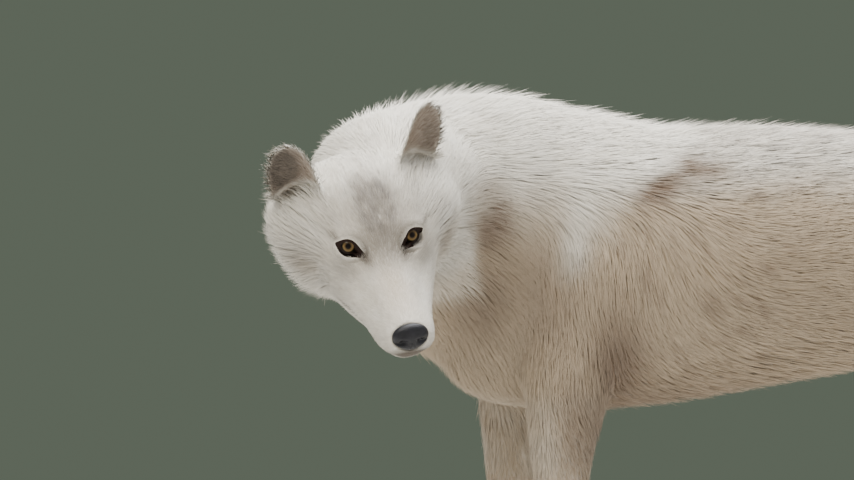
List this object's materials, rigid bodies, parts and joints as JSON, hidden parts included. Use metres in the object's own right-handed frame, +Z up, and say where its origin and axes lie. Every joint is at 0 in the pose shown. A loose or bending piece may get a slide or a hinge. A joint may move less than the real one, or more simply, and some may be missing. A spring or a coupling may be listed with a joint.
{
  "type": "arctic wolf, life-size still model",
  "caption": "Adult arctic wolf in winter coat, standing in profile with its lowered head turned over its left side.",
  "frame": {"origin": "middle of the bounding box, on the floor the paws stand on", "axes": "+Z up; the trunk lies along X with the breast towards -X and the tail towards +X; the wolf's left side, and its muzzle, point towards -Y"},
  "size_m": [1.2282, 0.5746, 0.8109],
  "materials": {
    "body_hair": "long dense winter coat, warm white",
    "leg_hair": "short dense hair, tan",
    "ear_hair": "short soft hair, brown inside",
    "eye": "wet gloss, amber iris",
    "nose_skin": "damp pebbled skin, near black"
  },
  "bodies": {
    "root": {"head": "body_hair", "neck": "body_hair", "trunk": "body_hair", "foreleg_left_paw": "leg_hair", "foreleg_right_paw": "leg_hair", "foreleg_right_lower": "leg_hair", "foreleg_right_upper": "leg_hair", "foreleg_left_lower": "leg_hair", "foreleg_left_upper": "leg_hair", "hindleg_left_upper": "leg_hair", "hindleg_right_upper": "leg_hair", "hindleg_left_paw": "leg_hair", "hindleg_left_lower": "leg_hair", "hindleg_right_paw": "leg_hair", "hindleg_right_lower": "leg_hair", "ear_left": "ear_hair", "ear_right": "ear_hair", "tail": "body_hair", "eye_right": "eye", "eye_left": "eye", "nose": "nose_skin"}
  },
  "joints": []
}
